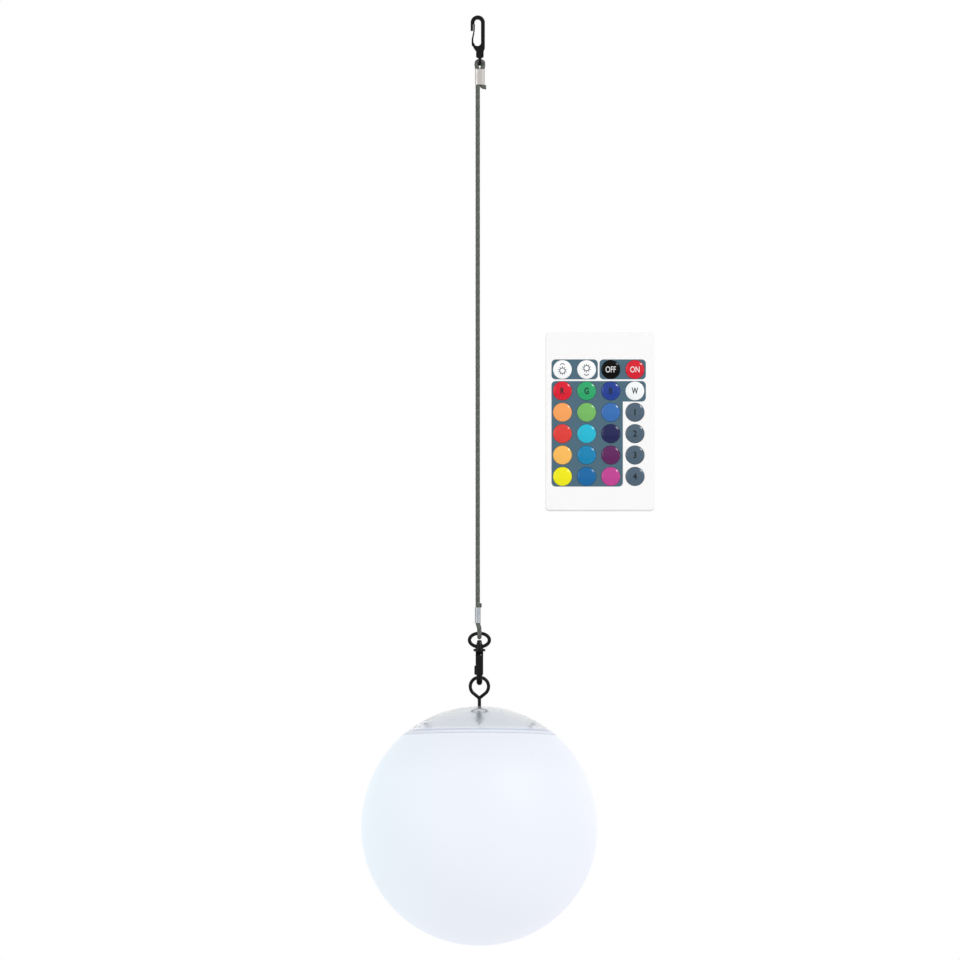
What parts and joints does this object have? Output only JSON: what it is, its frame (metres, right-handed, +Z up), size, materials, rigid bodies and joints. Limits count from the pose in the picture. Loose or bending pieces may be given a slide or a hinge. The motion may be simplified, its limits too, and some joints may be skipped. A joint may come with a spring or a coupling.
{
  "type": "hanging solar globe light with remote control",
  "caption": "Frosted globe lamp with a clear domed lid over a solar module, hung by an eye, a snap hook and a looped cord from a gated plastic hook, with a flat keypad remote.",
  "frame": {"origin": "centre of the top hook's crown, where the rod or branch that carries the light passes", "axes": "+Z up along the hanging string, the rod under the crown runs along Y, -Y is the side that the remote's keys face"},
  "size_m": [0.1414, 0.1141, 0.4492],
  "materials": {
    "hook_plastic": "satin",
    "cord_braid": "matte",
    "crimp_aluminium": "satin",
    "black_steel": "satin",
    "plain_steel": "satin",
    "clear_plastic": "clear",
    "white_plastic": "satin",
    "solar_cells": "gloss",
    "seal_rubber": "matte",
    "cell_wrap": "gloss",
    "board_green": "satin",
    "led_white": "gloss",
    "receiver_black": "gloss",
    "button_grey": "satin",
    "frosted_globe": "frosted",
    "remote_white": "satin",
    "print_slate": "satin",
    "mat_grey": "matte",
    "led_clear": "clear",
    "key_white": "satin",
    "key_black": "satin",
    "key_on_red": "satin",
    "key_red": "satin",
    "key_green": "satin",
    "key_blue": "satin",
    "key_milk": "satin",
    "key_apricot": "satin",
    "key_leaf": "satin",
    "key_azure": "satin",
    "key_mode": "satin",
    "key_coral": "satin",
    "key_cyan": "satin",
    "key_navy": "satin",
    "key_amber": "satin",
    "key_teal": "satin",
    "key_plum": "satin",
    "key_yellow": "satin",
    "key_ocean": "satin",
    "key_orchid": "satin"
  },
  "bodies": {
    "top_hook": {"top_hook": "hook_plastic"},
    "hook_gate": {"hook_gate": "hook_plastic"},
    "cord": {"cord": "cord_braid", "upper_ferrule": "crimp_aluminium", "lower_ferrule": "crimp_aluminium"},
    "ring": {"swivel_ring": "black_steel"},
    "snap": {"snap_body": "black_steel", "gate_pin": "plain_steel"},
    "snap_gate": {"snap_gate": "black_steel", "gate_spring": "plain_steel"},
    "module": {"eye_screw": "black_steel", "eye_nut": "plain_steel", "clear_dome": "clear_plastic", "module_housing": "white_plastic", "dome_screws": "plain_steel", "solar_panel": "solar_cells", "seal_ring": "seal_rubber", "battery_cell": "cell_wrap", "cell_contacts": "plain_steel", "light_board": "board_green", "colour_leds": "led_white", "led_lens": "clear_plastic", "infrared_receiver": "receiver_black", "module_lid": "white_plastic", "lid_screws": "plain_steel"},
    "globe": {"globe_shell": "frosted_globe"},
    "switch_button": {"switch_button": "button_grey"},
    "remote": {"remote_front": "remote_white", "remote_back": "remote_white", "remote_panels": "print_slate", "keypad_mat": "mat_grey", "remote_board": "board_green", "remote_contacts": "plain_steel", "infrared_led": "led_clear"},
    "cell_carrier": {"cell_carrier": "remote_white", "coin_cell": "plain_steel"},
    "key_1a": {"key_1a": "key_white"},
    "key_1b": {"key_1b": "key_white"},
    "key_1c": {"key_1c": "key_black"},
    "key_1d": {"key_1d": "key_on_red"},
    "key_2a": {"key_2a": "key_red"},
    "key_2b": {"key_2b": "key_green"},
    "key_2c": {"key_2c": "key_blue"},
    "key_2d": {"key_2d": "key_milk"},
    "key_3a": {"key_3a": "key_apricot"},
    "key_3b": {"key_3b": "key_leaf"},
    "key_3c": {"key_3c": "key_azure"},
    "key_3d": {"key_3d": "key_mode"},
    "key_4a": {"key_4a": "key_coral"},
    "key_4b": {"key_4b": "key_cyan"},
    "key_4c": {"key_4c": "key_navy"},
    "key_4d": {"key_4d": "key_mode"},
    "key_5a": {"key_5a": "key_amber"},
    "key_5b": {"key_5b": "key_teal"},
    "key_5c": {"key_5c": "key_plum"},
    "key_5d": {"key_5d": "key_mode"},
    "key_6a": {"key_6a": "key_yellow"},
    "key_6b": {"key_6b": "key_ocean"},
    "key_6c": {"key_6c": "key_orchid"},
    "key_6d": {"key_6d": "key_mode"}
  },
  "joints": [
    {"name": "hook_gate_flex", "type": "hinge", "parent": "top_hook", "child": "hook_gate", "pos_m": [-0.0022, 0, -0.0107], "axis": [0, 1, 0], "range_deg": [0, 15], "stiffness_Nm_per_rad": 0.02},
    {"name": "cord_swing", "type": "hinge", "parent": "top_hook", "child": "cord", "pos_m": [0.00103, 0, -0.01865], "axis": [1, 0, 0], "range_deg": [-45, 45]},
    {"name": "ring_swing", "type": "hinge", "parent": "cord", "child": "ring", "pos_m": [0.0008, 0.00103, -0.29525], "axis": [1, 0, 0], "range_deg": [-45, 45]},
    {"name": "snap_swivel", "type": "hinge", "parent": "ring", "child": "snap", "pos_m": [0.0008, 0.00103, -0.3035], "axis": [0, 0, 1], "continuous": true},
    {"name": "snap_gate_hinge", "type": "hinge", "parent": "snap", "child": "snap_gate", "pos_m": [0.0008, -0.00143, -0.30654], "axis": [1, 0, 0], "range_deg": [0, 21], "stiffness_Nm_per_rad": 0.01, "springref_deg": -11.46},
    {"name": "globe_swing", "type": "hinge", "parent": "snap", "child": "module", "pos_m": [0.0008, 0.00103, -0.31889], "axis": [0, 1, 0], "range_deg": [-25, 25]},
    {"name": "globe_twist", "type": "hinge", "parent": "module", "child": "globe", "pos_m": [0.0008, 0.00103, -0.3448], "axis": [0, 0, 1], "range_deg": [-25, 0]},
    {"name": "switch_press", "type": "slide", "parent": "module", "child": "switch_button", "axis": [0, 0, 1], "range_m": [0, 0.0006], "stiffness_N_per_m": 1500},
    {"name": "remote_pick_up", "type": "slide", "parent": "top_hook", "child": "remote", "axis": [0, -1, 0], "range_m": [0, 0.06]},
    {"name": "carrier_pull", "type": "slide", "parent": "remote", "child": "cell_carrier", "axis": [0, 0, -1], "range_m": [0, 0.022]},
    {"name": "key_1a_press", "type": "slide", "parent": "remote", "child": "key_1a", "axis": [0, 1, 0], "range_m": [0, 0.0005], "stiffness_N_per_m": 400},
    {"name": "key_1b_press", "type": "slide", "parent": "remote", "child": "key_1b", "axis": [0, 1, 0], "range_m": [0, 0.0005], "stiffness_N_per_m": 400},
    {"name": "key_1c_press", "type": "slide", "parent": "remote", "child": "key_1c", "axis": [0, 1, 0], "range_m": [0, 0.0005], "stiffness_N_per_m": 400},
    {"name": "key_1d_press", "type": "slide", "parent": "remote", "child": "key_1d", "axis": [0, 1, 0], "range_m": [0, 0.0005], "stiffness_N_per_m": 400},
    {"name": "key_2a_press", "type": "slide", "parent": "remote", "child": "key_2a", "axis": [0, 1, 0], "range_m": [0, 0.0005], "stiffness_N_per_m": 400},
    {"name": "key_2b_press", "type": "slide", "parent": "remote", "child": "key_2b", "axis": [0, 1, 0], "range_m": [0, 0.0005], "stiffness_N_per_m": 400},
    {"name": "key_2c_press", "type": "slide", "parent": "remote", "child": "key_2c", "axis": [0, 1, 0], "range_m": [0, 0.0005], "stiffness_N_per_m": 400},
    {"name": "key_2d_press", "type": "slide", "parent": "remote", "child": "key_2d", "axis": [0, 1, 0], "range_m": [0, 0.0005], "stiffness_N_per_m": 400},
    {"name": "key_3a_press", "type": "slide", "parent": "remote", "child": "key_3a", "axis": [0, 1, 0], "range_m": [0, 0.0005], "stiffness_N_per_m": 400},
    {"name": "key_3b_press", "type": "slide", "parent": "remote", "child": "key_3b", "axis": [0, 1, 0], "range_m": [0, 0.0005], "stiffness_N_per_m": 400},
    {"name": "key_3c_press", "type": "slide", "parent": "remote", "child": "key_3c", "axis": [0, 1, 0], "range_m": [0, 0.0005], "stiffness_N_per_m": 400},
    {"name": "key_3d_press", "type": "slide", "parent": "remote", "child": "key_3d", "axis": [0, 1, 0], "range_m": [0, 0.0005], "stiffness_N_per_m": 400},
    {"name": "key_4a_press", "type": "slide", "parent": "remote", "child": "key_4a", "axis": [0, 1, 0], "range_m": [0, 0.0005], "stiffness_N_per_m": 400},
    {"name": "key_4b_press", "type": "slide", "parent": "remote", "child": "key_4b", "axis": [0, 1, 0], "range_m": [0, 0.0005], "stiffness_N_per_m": 400},
    {"name": "key_4c_press", "type": "slide", "parent": "remote", "child": "key_4c", "axis": [0, 1, 0], "range_m": [0, 0.0005], "stiffness_N_per_m": 400},
    {"name": "key_4d_press", "type": "slide", "parent": "remote", "child": "key_4d", "axis": [0, 1, 0], "range_m": [0, 0.0005], "stiffness_N_per_m": 400},
    {"name": "key_5a_press", "type": "slide", "parent": "remote", "child": "key_5a", "axis": [0, 1, 0], "range_m": [0, 0.0005], "stiffness_N_per_m": 400},
    {"name": "key_5b_press", "type": "slide", "parent": "remote", "child": "key_5b", "axis": [0, 1, 0], "range_m": [0, 0.0005], "stiffness_N_per_m": 400},
    {"name": "key_5c_press", "type": "slide", "parent": "remote", "child": "key_5c", "axis": [0, 1, 0], "range_m": [0, 0.0005], "stiffness_N_per_m": 400},
    {"name": "key_5d_press", "type": "slide", "parent": "remote", "child": "key_5d", "axis": [0, 1, 0], "range_m": [0, 0.0005], "stiffness_N_per_m": 400},
    {"name": "key_6a_press", "type": "slide", "parent": "remote", "child": "key_6a", "axis": [0, 1, 0], "range_m": [0, 0.0005], "stiffness_N_per_m": 400},
    {"name": "key_6b_press", "type": "slide", "parent": "remote", "child": "key_6b", "axis": [0, 1, 0], "range_m": [0, 0.0005], "stiffness_N_per_m": 400},
    {"name": "key_6c_press", "type": "slide", "parent": "remote", "child": "key_6c", "axis": [0, 1, 0], "range_m": [0, 0.0005], "stiffness_N_per_m": 400},
    {"name": "key_6d_press", "type": "slide", "parent": "remote", "child": "key_6d", "axis": [0, 1, 0], "range_m": [0, 0.0005], "stiffness_N_per_m": 400}
  ]
}
